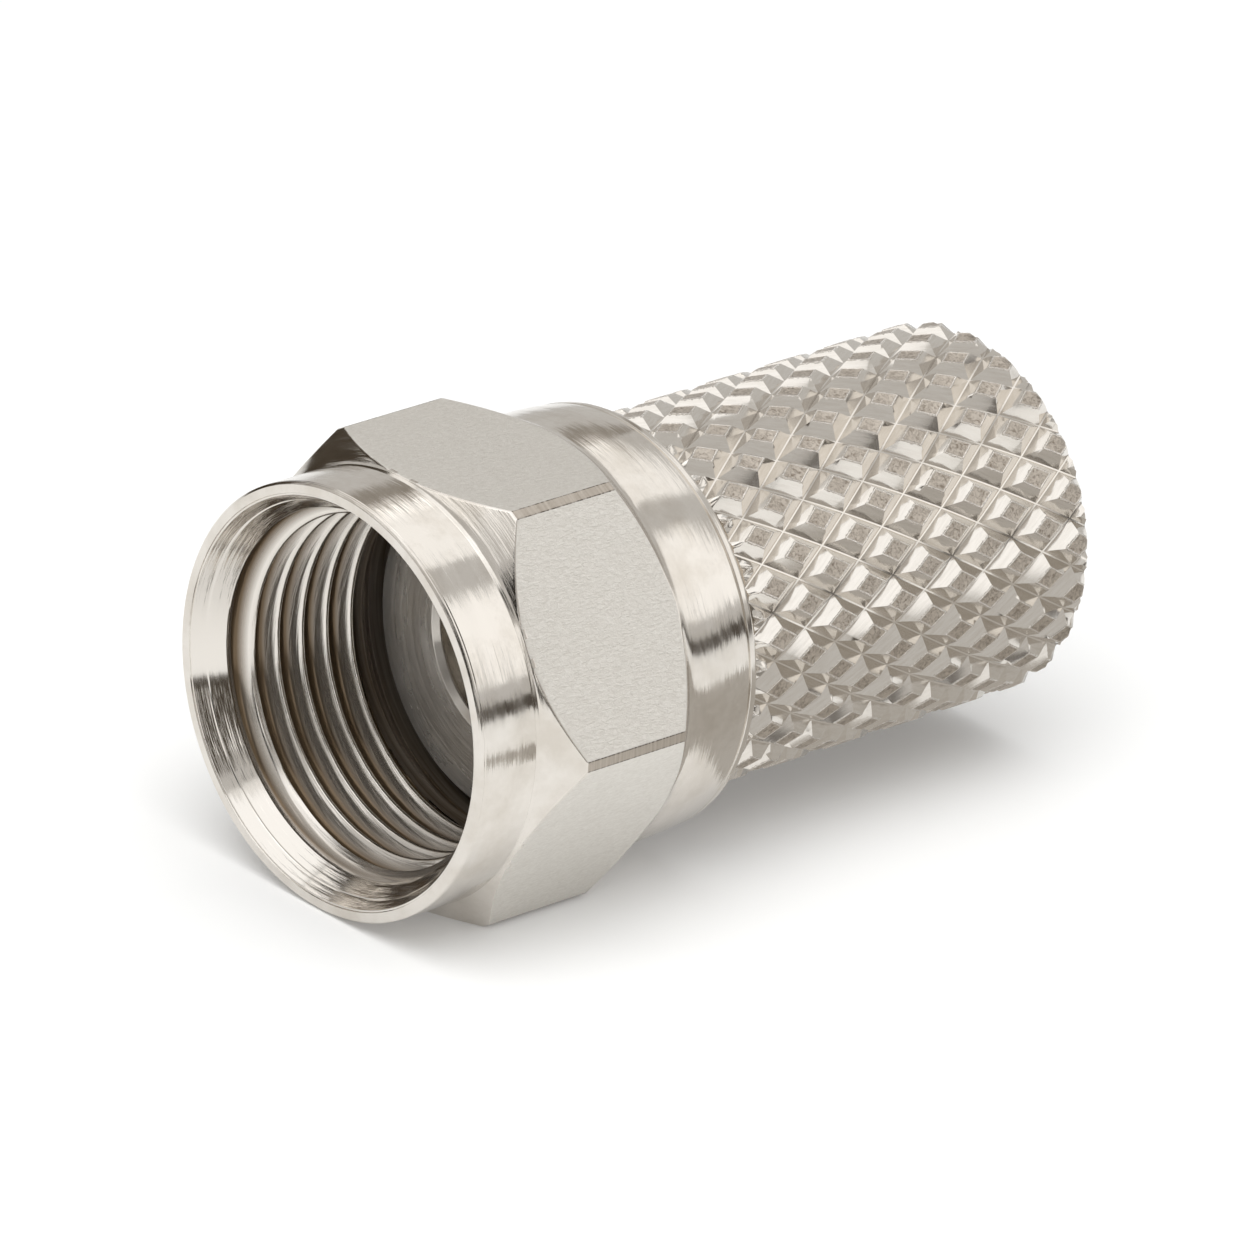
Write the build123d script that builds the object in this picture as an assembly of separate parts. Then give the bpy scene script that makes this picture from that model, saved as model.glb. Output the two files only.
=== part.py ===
from build123d import *
import math
import os

# Screw-on coaxial plug: a hexagon coupling nut that turns freely on a knurled cable body.
# Sizes are in millimetres. Lengths are measured along the axis from the nut's mouth.
# +X runs along the axis from the mouth to the cable end. +Z is up, one hexagon flat is down.
# The finished solids are moved so that the origin is where the nut's inside thread starts.

# the nut's outside
across_flats = 11.0         # spanner size
edge_bevel = 0.15           # the narrow bevel along each hexagon edge, measured on the flat
round_undersize = 0.02      # the turned ends stay this far inside the hexagon's flats
collar_len = 1.87           # the round collar at the mouth
rim_edge = 0.06             # the broken edge around the mouth's rim
tool_line_depth = 0.06      # the fine turned lines behind the collar and before the rear lip
tool_line_width = 0.10
hex_front = 2.70            # where the front chamfer reaches the hexagon's corners
hex_rear = 5.90             # where the rear shoulder leaves the corners
shoulder_end = 6.72         # where the rear shoulder meets the rolled skirt
shoulder_blend = 0.45       # the hollow radius between the shoulder and the skirt
skirt_taper = 0.07          # how much radius the skirt loses toward its rear edge
nut_len = 9.05
lip_land = 0.25             # the narrow band behind the skirt's turned line
lip_edge = 0.08             # the broken edge at the nut's rear end

# the nut's inside
mouth_wall = 0.31           # the rim's width at the mouth, from the collar to the hole
mouth_chamfer_len = 0.16
lead_in_wall = 0.64         # from the flats to a plain bore that lets the port's thread start
lead_in_len = 1.0
thread_wall = 1.15          # to the thread's core: 8.70 across, 3/8 inch with 32 turns an inch
thread_end = 4.90
undercut_wall = 0.60        # to the groove where the thread runs out
undercut_len = 0.55
pocket_wall = 0.75          # to the pocket that the body's flange turns in

# the body
flange_front = 5.50
flange_len = 2.0
flange_edge = 0.12
flange_room = 0.35          # radial, between the flange and the nut's pocket
dish_depth = 0.12           # the flange's face is hollowed a little toward its hole
flange_hook = 0.60          # how far the flange stands out over the neck
turning_clearance = 0.05    # radial, between the neck and the nut's rear lip
end_play = 0.15             # along the axis, at each end of the nut's rear lip
band_dia = 8.60             # the plain band between the nut and the knurl
band_len = 0.60
body_end = 21.10
core_hole_dia = 4.90        # takes the cable's insulated core
core_hole_edge = 0.15
cable_bore_dia = 6.60       # grips the cable's jacket
cable_bore_depth = 11.2
cable_mouth_chamfer = 0.35
bore_cone_angle = 60.0      # the bore's bottom, measured from the axis

# the knurl
knurl_dia = 9.56            # over the tops of the diamonds
cells_around = 23
cell_len = 2.02             # one diamond along the axis, groove to groove
groove_depth = 0.34
groove_half_angle = 40.0    # of each V groove
root_land = 0.04            # the flat line left at the bottom of a groove
end_chamfer = 0.28          # breaks the knurl at both ends
first_row_lead = 0.29       # the first row's middle lies this far ahead of the knurl's front
knurl_turn = 41.6           # the first diamond's turn about the axis, from straight up

apothem = across_flats / 2
corner_r = apothem / math.cos(math.pi / 6)
bevelled_r = corner_r - edge_bevel / 2
collar_r = apothem - round_undersize
lead_in_dia = across_flats - 2 * lead_in_wall
thread_dia = across_flats - 2 * thread_wall
undercut_dia = across_flats - 2 * undercut_wall
pocket_dia = across_flats - 2 * pocket_wall
flange_dia = pocket_dia - 2 * flange_room
neck_dia = flange_dia - 2 * flange_hook
lip_bore_dia = neck_dia + 2 * turning_clearance
lip_front = flange_front + flange_len + end_play
thread_start = lead_in_len + (lead_in_dia - thread_dia) / 2
band_front = nut_len + end_play
knurl_front = band_front + band_len
first_row = knurl_front - first_row_lead
knurl_root_r = knurl_dia / 2 - groove_depth
cable_bore_bottom = body_end - cable_bore_depth


def turned(*points):
    """A closed outline of (x, radius) points, turned about the X axis."""
    face = make_face(Plane.XZ * Polyline(*points, close=True))
    return revolve(face, Axis.X)


def tool_line(x):
    """The fine V line that a pointed tool leaves around the nut."""
    outside = collar_r + tool_line_depth
    half = tool_line_width
    return turned((x - half, outside), (x, collar_r - tool_line_depth), (x + half, outside))


def nut_blank():
    """The nut's outside as it comes off the lathe, before its flats."""
    skirt_end_r = collar_r - skirt_taper
    over = corner_r - bevelled_r + rim_edge
    front_run = (hex_front - collar_len) / (bevelled_r - collar_r)
    rear_run = (shoulder_end - hex_rear) / (bevelled_r - collar_r)
    top_r = bevelled_r + over
    face = make_face(Plane.XZ * Polyline(
        (nut_len, 0), (0, 0), (0, collar_r - rim_edge), (rim_edge, collar_r),
        (collar_len, collar_r), (hex_front + over * front_run, top_r),
        (hex_rear - over * rear_run, top_r), (shoulder_end, collar_r),
        (nut_len - lip_edge, skirt_end_r), (nut_len, skirt_end_r - lip_edge), close=True,
    ))
    hollow = face.vertices().sort_by_distance((shoulder_end, 0, collar_r))[0]
    return revolve(fillet(hollow, shoulder_blend), Axis.X)


def hex_bar():
    bar = extrude(Plane.YZ * RegularPolygon(corner_r, 6), nut_len)
    return chamfer(bar.edges().filter_by(Axis.X), edge_bevel)


def nut_inside():
    """Everything that is bored out of the nut, from the mouth to the rear lip."""
    mouth_r = collar_r - mouth_wall
    lead_r = lead_in_dia / 2
    thread_r = thread_dia / 2
    under_r = undercut_dia / 2
    pocket_r = pocket_dia / 2
    lip_r = lip_bore_dia / 2
    edge = rim_edge
    return turned(
        (-1, 0), (-1, mouth_r), (0, mouth_r), (mouth_chamfer_len, lead_r),
        (lead_in_len, lead_r), (thread_start, thread_r), (thread_end, thread_r),
        (thread_end, under_r), (thread_end + undercut_len, under_r),
        (thread_end + undercut_len, pocket_r), (lip_front, pocket_r), (lip_front, lip_r),
        (nut_len - edge, lip_r), (nut_len, lip_r + edge), (nut_len + 1, lip_r + edge),
        (nut_len + 1, 0),
    )


def coupling_nut():
    nut = nut_blank() & hex_bar()
    nut -= nut_inside()
    nut -= tool_line(collar_len)
    nut -= tool_line(nut_len - lip_land)
    return nut


def diamond():
    """One raised diamond of the knurl: a pyramid with a flat top and four flat flanks.

    It points along +Z. Each flank's foot is a straight line, from the corner at the
    diamond's end down to the corner at its side, so grooves meet without a step.
    """
    half_turn = math.pi / cells_around
    half_len = cell_len / 2
    half_width = knurl_root_r * math.sin(half_turn)
    side_drop = knurl_root_r * (1 - math.cos(half_turn))
    reach = half_len * half_width / math.hypot(half_len, half_width)
    kept = 1 - root_land / 2 / reach
    peak = reach * kept / math.tan(math.radians(groove_half_angle))
    slope_len = half_len * kept / peak
    slope_width = half_width * kept / (peak + side_drop)
    lean = math.atan(slope_len * slope_width / math.hypot(slope_len, slope_width))
    foot = side_drop + root_land
    x = slope_len * (peak + foot)
    y = slope_width * (peak + foot)
    rhombus = make_face(Polyline((x, 0), (0, y), (-x, 0), (0, -y), close=True))
    height = foot + groove_depth
    return extrude(Plane((0, 0, knurl_root_r - foot)) * rhombus, height, taper=math.degrees(lean))


def sleeve_bar():
    """The sleeve before it is knurled, with one narrow facet for each half diamond."""
    bar = extrude(Plane.YZ * RegularPolygon(knurl_root_r, 2 * cells_around), body_end - knurl_front)
    return Rot(X=knurl_turn) * Pos(knurl_front, 0, 0) * bar


def sleeve_envelope():
    """What the knurled sleeve may fill: a plain roller with broken ends."""
    top_r = knurl_dia / 2 + root_land
    low_r = top_r - end_chamfer
    return turned(
        (knurl_front, 0), (knurl_front, low_r), (knurl_front + end_chamfer, top_r),
        (body_end - end_chamfer, top_r), (body_end, low_r), (body_end, 0),
    )


def diamonds():
    """The knurl's raised diamonds: rows around the sleeve, every second one half a diamond on."""
    half_turn = 180 / cells_around
    half_cell = cell_len / 2
    one = diamond()
    bar = sleeve_bar()
    envelope = sleeve_envelope()
    placed = []
    for row in range(math.ceil((body_end - first_row) / half_cell) + 1):
        middle = first_row + row * half_cell
        whole = Rot(X=knurl_turn + row % 2 * half_turn) * Pos(middle, 0, 0) * one
        kept = whole & envelope
        if kept.solids():
            kept -= bar
        for piece in kept.solids():
            placed += [Rot(X=2 * cell * half_turn) * piece for cell in range(cells_around)]
    return placed


def cable_body():
    flange_r = flange_dia / 2
    neck_r = neck_dia / 2
    band_r = band_dia / 2
    core_r = core_hole_dia / 2
    bore_r = cable_bore_dia / 2
    flange_back = flange_front + flange_len
    front = turned(
        (flange_front + dish_depth, 0), (flange_front + dish_depth, core_r),
        (flange_front, flange_r - flange_edge), (flange_front + flange_edge, flange_r),
        (flange_back, flange_r), (flange_back, neck_r), (band_front, neck_r),
        (band_front, band_r), (knurl_front + band_len, band_r), (knurl_front + band_len, 0),
    )
    cone = (bore_r - core_r) / math.tan(math.radians(bore_cone_angle))
    outside = flange_front - core_hole_edge
    core_edge = flange_front + dish_depth + core_hole_edge
    inside = turned(
        (outside, 0), (outside, core_r + core_edge - outside), (core_edge, core_r),
        (cable_bore_bottom - cone, core_r),
        (cable_bore_bottom, bore_r), (body_end - cable_mouth_chamfer, bore_r),
        (body_end, bore_r + cable_mouth_chamfer), (body_end + 1, bore_r + cable_mouth_chamfer),
        (body_end + 1, 0),
    )
    core = (sleeve_bar() & sleeve_envelope()) + front - inside
    return core.solid().fuse(*diamonds(), glue=True)


pieces = {"coupling_nut": coupling_nut(), "cable_body": cable_body()}
os.makedirs("parts", exist_ok=True)
for name, piece in pieces.items():
    export_step(Pos(-thread_start, 0, 0) * piece, "parts/" + name + ".step")
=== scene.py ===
import bpy
import bmesh
import math
import numpy as np
from mathutils import Matrix, Vector


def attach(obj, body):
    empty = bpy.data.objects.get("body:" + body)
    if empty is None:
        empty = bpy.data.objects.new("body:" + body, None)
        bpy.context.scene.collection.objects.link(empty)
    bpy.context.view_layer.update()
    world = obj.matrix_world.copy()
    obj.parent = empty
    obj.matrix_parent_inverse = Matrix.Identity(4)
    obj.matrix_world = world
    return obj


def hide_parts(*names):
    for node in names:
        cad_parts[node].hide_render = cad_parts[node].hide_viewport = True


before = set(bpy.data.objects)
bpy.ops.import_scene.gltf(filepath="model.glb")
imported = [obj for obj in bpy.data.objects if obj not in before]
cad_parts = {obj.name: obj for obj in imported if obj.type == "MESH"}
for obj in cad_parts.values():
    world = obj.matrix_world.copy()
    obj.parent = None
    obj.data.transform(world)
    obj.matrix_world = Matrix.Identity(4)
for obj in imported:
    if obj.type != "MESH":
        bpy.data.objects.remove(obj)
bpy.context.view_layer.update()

# Screw-on coaxial plug, nickel-plated brass, lying on one flat of its nut.
# Lengths are in millimetres, and places along the axis are counted from the nut's mouth.
mm = 0.001
mouthX = -1.51          # the mouth in the frame, whose origin is the start of the nut's thread


# helpers for turned meshes

def smoothMin(a, b, width):
    # the lower of two surfaces, with the edge between them rounded
    h = np.clip(width - np.abs(a - b), 0, None) / width
    return np.minimum(a, b) - h * h * width / 4


def roundedLine(points, steps=4):
    # points are (x, radius, corner radius); returns the line with its corners rounded
    mostOfSide = 0.45           # a corner takes up at most this part of the sides beside it
    out = []
    for i, (x, r, c) in enumerate(points):
        p = Vector((x, r))
        if c <= 0 or i in (0, len(points) - 1):
            out.append((x, r))
            continue
        a = Vector(points[i - 1][:2]) - p
        b = Vector(points[i + 1][:2]) - p
        turn = math.pi - a.angle(b)
        reach = min(c * math.tan(turn / 2), a.length * mostOfSide, b.length * mostOfSide)
        a.normalize()
        b.normalize()
        start, end = p + a * reach, p + b * reach
        guard = min(reach * 1.6, reach + 0.02)      # a ring just outside keeps the flat beside it flat
        out.append(tuple(p + a * guard))
        for k in range(steps + 1):
            t = k / steps
            out.append(tuple(start * (1 - t) ** 2 + p * 2 * t * (1 - t) + end * t * t))
        out.append(tuple(p + b * guard))
    return out


def ringRows(line, count):
    # each (x, radius) becomes a ring of count points
    return [(np.full(count, x), np.full(count, r)) for x, r in line]


def meshObject(name, verts, faces):
    mesh = bpy.data.meshes.new(name)
    mesh.from_pydata(verts, [], faces)
    piece = bpy.data.objects.new(name, mesh)
    bpy.context.scene.collection.objects.link(piece)
    return piece


def tidyMesh(piece, joinWithin=1e-7, sharpAngle=40):
    # joins points closer than that many metres, and shades smooth up to that many degrees
    bm = bmesh.new()
    bm.from_mesh(piece.data)
    bmesh.ops.remove_doubles(bm, verts=bm.verts, dist=joinWithin)
    bmesh.ops.dissolve_degenerate(bm, edges=bm.edges, dist=joinWithin)
    bmesh.ops.recalc_face_normals(bm, faces=bm.faces)
    bm.to_mesh(piece.data)
    bm.free()
    piece.data.polygons.foreach_set("use_smooth", [True] * len(piece.data.polygons))
    piece.data.set_sharp_from_angle(angle=math.radians(sharpAngle))
    piece.data.update()


def triangles(piece):
    return sum(len(p.vertices) - 2 for p in piece.data.polygons)


def ringPoints(rows, angles):
    # rows of (x, radius) arrays, one value for each angle, in metres in the frame
    xs = np.array([r[0] for r in rows])
    rs = np.array([r[1] for r in rows])
    c, s = np.cos(angles), np.sin(angles)
    return np.stack([(xs + mouthX) * mm, rs * c * mm, rs * s * mm], -1)


def ringFaces(rowCount, count, start=0, shift=0):
    # quads between neighbouring rings; shift joins a screw thread's rows after one turn
    faces = []
    for i in range(rowCount - 1):
        for k in range(count):
            n = (k + 1) % count
            up = shift if n == 0 else 0
            if i + 1 + up >= rowCount:
                continue
            faces.append((start + i * count + k, start + (i + up) * count + n,
                          start + (i + 1 + up) * count + n, start + (i + 1) * count + k))
    return faces


def threadOutline(thread):
    # one whole turn of a screw thread: the part of the turn, and the height from root to crest
    half = np.array(thread["halfShape"])
    parts = np.concatenate([half[:, 0], 1 - half[-2::-1, 0]])
    heights = np.concatenate([half[:, 1], half[-2::-1, 1]])
    return parts, heights


def threadRows(angles, thread, xFrom, xTo):
    # rings that follow a screw thread, so its crests and roots stay sharp along the helix
    pitch, crest, root = thread["pitch"], thread["crestRadius"], thread["rootRadius"]
    parts, heights = threadOutline(thread)
    first = math.floor((xFrom - thread["phaseX"]) / pitch) - 1
    turns = int((xTo - xFrom) / pitch) + 4
    rows = []
    for t in range(first, first + turns):
        for part, height in zip(parts[:-1], heights[:-1]):
            x = thread["phaseX"] + (t + part + angles / (2 * math.pi)) * pitch
            rows.append((x, np.full(len(angles), root + (crest - root) * height)))
    return rows, len(parts) - 1


print("helpers ready")


# the coupling nut

nut = {
    "acrossFlats": 11.0,
    "edgeBevel": 0.15,
    "edgeRound": 0.03,         # how far the hexagon's edges are rounded by plating and barrelling
    "collarRadius": 5.48,
    "collarLength": 1.87,
    "rimEdge": 0.06,           # the broken edge around the mouth's rim
    "rimLine": 0.12,           # a faint line that the tool left just behind the rim
    "rimLineDepth": 0.018,
    "rimLineHalf": 0.02,
    "grooveLead": 0.12,        # the groove behind the collar starts this far before its end
    "grooveWall": 0.015,       # how far its front wall slopes
    "grooveRear": 0.035,       # and where it ends, behind the collar's end
    "hexFront": 2.70,
    "hexMiddle": 4.5,          # anywhere between the front cone and the rear shoulder
    "hexRear": 5.90,
    "shoulderEnd": 6.72,
    "shoulderBlend": 0.45,
    "blendLength": 0.32,       # the skirt's plain part starts this far behind the shoulder
    "skirtDrop": 0.004,        # the skirt starts this far inside the collar's radius
    "skirtEndRadius": 5.41,
    "skirtEndStep": 0.006,     # and ends this far outside the lip's
    "skirtBulge": 0.03,        # the rolled skirt is slightly barrelled
    "skirtRings": 13,
    "length": 9.05,
    "lipLine": 8.80,
    "lipLineHalf": 0.045,
    "lipTaper": 0.01,
    "lineDepth": 0.08,         # of the groove behind the collar and of the line before the lip
    "mouthRadius": 5.17,
    "mouthStep": 0.035,        # the fine step around the countersink's mouth
    "mouthConeAngle": 30,      # degrees from the axis: the countersink that the thread starts in
    "coneStep": 0.37,          # a fine step that the countersink's edge left
    "coneStepHalf": 0.02,
    "coneEnd": 0.80,           # the thread's first turn runs out from here
    "threadEnd": 4.90,
    "undercutRadius": 4.90,
    "undercutEnd": 5.45,
    "pocketRadius": 4.75,
    "lipFront": 7.65,
    "lipBoreRadius": 3.85,
    "boreEdge": 0.06,          # the broken edge of the lip's bore, and the wall where the thread ends
    "flatColumns": 25,         # mesh columns across a flat, up to columnGap from the bevels
    "columnGap": 0.09,
    "edgeColumns": [-0.05, -0.025, -0.01, 0, 0.012, 0.03, 0.07],    # from where a bevel starts
    "edgeBand": 0.045,         # rings lie close together this far before and behind an edge
    "leastSpan": 0.004,        # room that is left between rings where two edges meet
}
portThread = {
    "pitch": 25.4 / 32,        # 32 turns an inch
    "crestRadius": 4.35,
    "rootRadius": 4.76,
    "phaseX": 1.0,             # where a root crosses the +Y side
    # (part of a turn from the root's middle, height from root 0 to crest 1), first half
    "halfShape": [(0, 0), (0.06, 0.015), (0.12, 0.06), (0.18, 0.135), (0.24, 0.25), (0.30, 0.42),
                  (0.36, 0.64), (0.41, 0.88), (0.44, 0.95), (0.48, 1), (0.5, 1)],
}


def bevelRadius():
    # from the axis to the middle of the bevel along each of the hexagon's edges
    return nut["acrossFlats"] / 2 / math.cos(math.pi / 6) - nut["edgeBevel"] / 2


def hexRadius(angles):
    # the bevelled hexagon's radius at each angle; a flat faces down
    flat = np.radians((np.degrees(angles) % 60) - 30)
    edge = np.radians(((np.degrees(angles) + 30) % 60) - 30)
    flats = nut["acrossFlats"] / 2 / np.cos(flat)
    bevels = bevelRadius() / np.cos(edge)
    return smoothMin(flats, bevels, nut["edgeRound"] * 0.35)    # the bevels' own edges are crisper


def hexAngles():
    # columns that fall on the hexagon's bevels, closer together beside them
    apothem = nut["acrossFlats"] / 2
    edge = apothem * math.tan(math.pi / 6) - nut["edgeBevel"]
    along = np.linspace(-edge + nut["columnGap"], edge - nut["columnGap"], nut["flatColumns"])
    near = np.array([edge + off for off in nut["edgeColumns"]])
    across = np.concatenate([-near[::-1], along, near])
    oneFlat = np.degrees(np.arctan2(across, apothem)) + 30
    corners = [60 * k for k in range(6)]
    turns = np.concatenate([oneFlat + corner for corner in corners] + [corners])
    return np.radians(np.sort(turns))


def shoulderTable():
    # the rear shoulder and its hollow blend, as a dense line
    before, behind = 0.3, 0.6       # how far the line runs on past both ends
    steep = (bevelRadius() - nut["collarRadius"]) / (nut["shoulderEnd"] - nut["hexRear"])
    line = sorted(roundedLine([
        (nut["hexRear"] - before, bevelRadius() + before * steep, 0),
        (nut["shoulderEnd"], nut["collarRadius"], nut["shoulderBlend"]),
        (nut["shoulderEnd"] + behind, nut["collarRadius"] - nut["skirtDrop"], 0)], steps=14))
    return np.array([p[0] for p in line]), np.array([p[1] for p in line])


def nutOutside(angles):
    # rings from the collar over the hexagon to the skirt
    hexR = hexRadius(angles)
    rise = (bevelRadius() - nut["collarRadius"]) / (nut["hexFront"] - nut["collarLength"])
    xs, rs = shoulderTable()
    xFront = nut["collarLength"] + (hexR - nut["collarRadius"]) / rise
    xRear = np.interp(-hexR, -rs, xs)
    start = np.full(len(angles), nut["collarLength"] + nut["grooveRear"])
    stop = np.full(len(angles), nut["shoulderEnd"] + nut["blendLength"])
    # the rings beside an edge draw closer where the middle of a flat leaves little room
    e = np.minimum(nut["edgeBand"], 0.45 * np.clip(xFront - start, nut["leastSpan"], None))
    e2 = np.minimum(nut["edgeBand"], 0.45 * np.clip(stop - xRear, nut["leastSpan"], None))
    xFront = np.maximum(xFront, start + e * 1.02)
    aroundEdge = [0, 0.25, 0.5, 0.75]
    spans = [(start, xFront - e, [0, 0.2, 0.45, 0.7, 0.9]),
             (xFront - e, xFront + e, aroundEdge),
             (xFront + e, xRear - e2, [0, 0.02, 0.08, 0.2, 0.35, 0.5, 0.65, 0.8, 0.92, 0.98]),
             (xRear - e2, xRear + e2, aroundEdge),
             (xRear + e2, stop, [0, 0.1, 0.2, 0.3, 0.4, 0.5, 0.6, 0.7, 0.8, 0.9, 1])]
    rows = []
    for a, b, parts in spans:
        for t in parts:
            x = a + (b - a) * t
            cone = nut["collarRadius"] + (x - nut["collarLength"]) * rise
            turned = np.where(x < nut["hexMiddle"], cone, np.interp(x, xs, rs))
            rows.append((x, smoothMin(hexR, turned, nut["edgeRound"])))
    return rows


def coneRadius(x):
    # the countersink's radius
    return nut["mouthRadius"] - x * math.tan(math.radians(nut["mouthConeAngle"]))


def nutFront():
    # the outline from the thread's start over the countersink, the rim and the collar
    c, end, m = nut["collarRadius"], nut["collarLength"], nut["mouthStep"]
    step, stepHalf = nut["coneStep"], nut["coneStepHalf"]
    line, lineHalf = nut["rimLine"], nut["rimLineHalf"]
    return roundedLine([
        (nut["coneEnd"], coneRadius(nut["coneEnd"]), 0),
        (step + stepHalf, coneRadius(step + stepHalf), 0.01),
        (step, coneRadius(step) + 0.012, 0.01),
        (step - stepHalf, coneRadius(step - stepHalf) + 0.015, 0.01),
        (m, coneRadius(m), 0.01),
        (m, nut["mouthRadius"] + 0.02, 0.006),
        (0, nut["mouthRadius"] + m, 0.012),
        (0, c - nut["rimEdge"], 0.03),
        (nut["rimEdge"], c, 0.03),
        (line - lineHalf, c, 0.004),
        (line, c - nut["rimLineDepth"], 0.004),
        (line + lineHalf, c, 0.004),
        (end - nut["grooveLead"], c, 0.01),
        (end - nut["grooveLead"] + nut["grooveWall"], c - nut["lineDepth"], 0.01),
        (end + nut["grooveWall"], c, 0.004),
        (end + nut["grooveRear"], c + 0.002, 0)])


def nutRear():
    # the outline from the skirt over the lip, and back inside to the end of the thread
    line, half, endR = nut["lipLine"], nut["lipLineHalf"], nut["skirtEndRadius"]
    x0, x1 = nut["shoulderEnd"] + nut["blendLength"], line - half
    r0, r1 = nut["collarRadius"] - nut["skirtDrop"], endR + nut["skirtEndStep"]
    skirt = []
    for t in np.linspace(0, 1, nut["skirtRings"] + 1)[1:]:
        r = r0 + (r1 - r0) * t + nut["skirtBulge"] * 4 * t * (1 - t)
        skirt.append((x0 + (x1 - x0) * t, r))
    lip = roundedLine([
        skirt[-1] + (0,),
        (line, endR - nut["lineDepth"], 0.01),
        (line + half, endR, 0.01),
        (nut["length"], endR - nut["lipTaper"], 0.08),
        (nut["length"], nut["lipBoreRadius"] + nut["boreEdge"], 0.02),
        (nut["length"] - nut["boreEdge"], nut["lipBoreRadius"], 0.02),
        (nut["lipFront"], nut["lipBoreRadius"], 0.02),
        (nut["lipFront"], nut["pocketRadius"], 0.05),
        (nut["undercutEnd"], nut["pocketRadius"], 0.02),
        (nut["undercutEnd"], nut["undercutRadius"], 0.05),
        (nut["threadEnd"], nut["undercutRadius"], 0.05),
        (nut["threadEnd"], nut["undercutRadius"] - nut["boreEdge"], 0)], steps=5)
    return skirt + lip[1:]


def threadEndRadius(angles, x):
    # the inside thread's radius all the way round, at one place along the axis
    parts, heights = threadOutline(portThread)
    crest, root = portThread["crestRadius"], portThread["rootRadius"]
    part = ((x - portThread["phaseX"]) / portThread["pitch"] - angles / (2 * math.pi)) % 1
    return root + (crest - root) * np.interp(part, parts, heights)


def makeNut():
    angles = hexAngles()
    count = len(angles)
    rows = ringRows(nutFront(), count)[:-1] + nutOutside(angles) + ringRows(nutRear(), count)
    verts = ringPoints(rows, angles).reshape(-1, 3)
    faces = ringFaces(len(rows), count)

    # the inside thread, cut off by the countersink in front and the undercut behind
    xFrom, xTo = nut["coneEnd"], nut["threadEnd"]
    helix, perTurn = threadRows(angles, portThread, xFrom, xTo)
    cut = []
    for x, r in helix:
        x = np.clip(x, xFrom, xTo)
        cut.append((x, np.maximum(r, coneRadius(x))))
    faces += ringFaces(len(cut), count, start=len(verts), shift=perTurn)
    verts = np.concatenate([verts, ringPoints(cut, angles).reshape(-1, 3)])

    # the wall between the last turn and the undercut
    wall = [(np.full(count, xTo), threadEndRadius(angles, xTo)),
            (np.full(count, xTo), np.full(count, nut["undercutRadius"] - nut["boreEdge"]))]
    faces += ringFaces(len(wall), count, start=len(verts))
    verts = np.concatenate([verts, ringPoints(wall, angles).reshape(-1, 3)])
    piece = meshObject("nutTurned", verts.tolist(), faces)
    tidyMesh(piece, joinWithin=2e-7)
    return piece


nutPiece = makeNut()
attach(nutPiece, "nut")
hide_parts("coupling_nut")
print("nut made:", triangles(nutPiece), "triangles")


# the cable body

body = {
    "flangeFront": 5.50,
    "flangeRadius": 4.40,
    "flangeBack": 7.50,
    "flangeEdge": 0.12,
    "dishDepth": 0.12,
    "coreRadius": 2.45,
    "coreEdge": 0.15,          # the broken edge of the core's hole
    "coneFront": 9.41,         # the cone between the core's hole and the cable's bore
    "neckRadius": 3.80,
    "bandFront": 9.20,
    "bandRadius": 4.30,
    "boreRadius": 3.30,
    "boreBottom": 9.90,
    "boreEnd": 20.75,
    "mouthChamfer": 0.35,
    "end": 21.10,
    "columns": 128,
}
jacketThread = {
    "pitch": 1.25,             # coarse, it cuts its own way along the cable's jacket
    "crestRadius": 3.32,
    "rootRadius": 3.56,
    "phaseX": 9.9,
    "halfShape": [(0, 0), (0.10, 0.02), (0.18, 0.2), (0.30, 0.6), (0.42, 0.94), (0.46, 1), (0.5, 1)],
    "plainEnds": 0.12,         # no thread this close to both ends of the bore
    "runOut": 0.5,             # how much deeper it may be for each mm from there
}
knurl = {
    "front": 9.80,
    "rear": 21.10,
    "topRadius": 4.78,
    "grooveDepth": 0.31,
    "flankAngle": 41,          # degrees, from the groove's middle
    "around": 23,
    "cellLength": 2.02,
    "land": 0.04,              # the flat line at a groove's bottom
    "crossingX": 12.54,        # one crossing of two grooves
    "crossingTurn": 131.6,     # its angle, from +Y toward +Z
    "endChamfer": 0.28,
    "chamferRound": 0.02,
    "skinRadius": 4.4,         # whatever lies farther out than this belongs to the diamonds
    "coreClear": 0.004,        # the turned core ends this far above the grooves' bottoms
    "halfGrid": [0, 0.0193, 0.13, 0.245, 0.262, 0.278, 0.31, 0.5],  # part of the way to the next groove
    "leanSpread": 0.5,         # degrees by which the flanks differ
    "topDrop": 0.020,          # the tops stay below the full height by this, or by a little less
    "topSpread": 0.010,        # at most that much less
    "tiltSpread": 0.01,        # of height, from one side of a top to the other
    "topRound": 0.012,
    "burrHeight": 0.007,       # the edge that the wheel raised around each top
    "burrWidth": 0.03,
}


def knurlRoot():
    return knurl["topRadius"] - knurl["grooveDepth"]


def groovesApart():
    # mm between two neighbouring grooves, square across
    dx = knurl["cellLength"] / 2
    wide = knurlRoot() * math.sin(math.pi / knurl["around"])
    return 2 * dx * wide / math.hypot(dx, wide)


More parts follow.
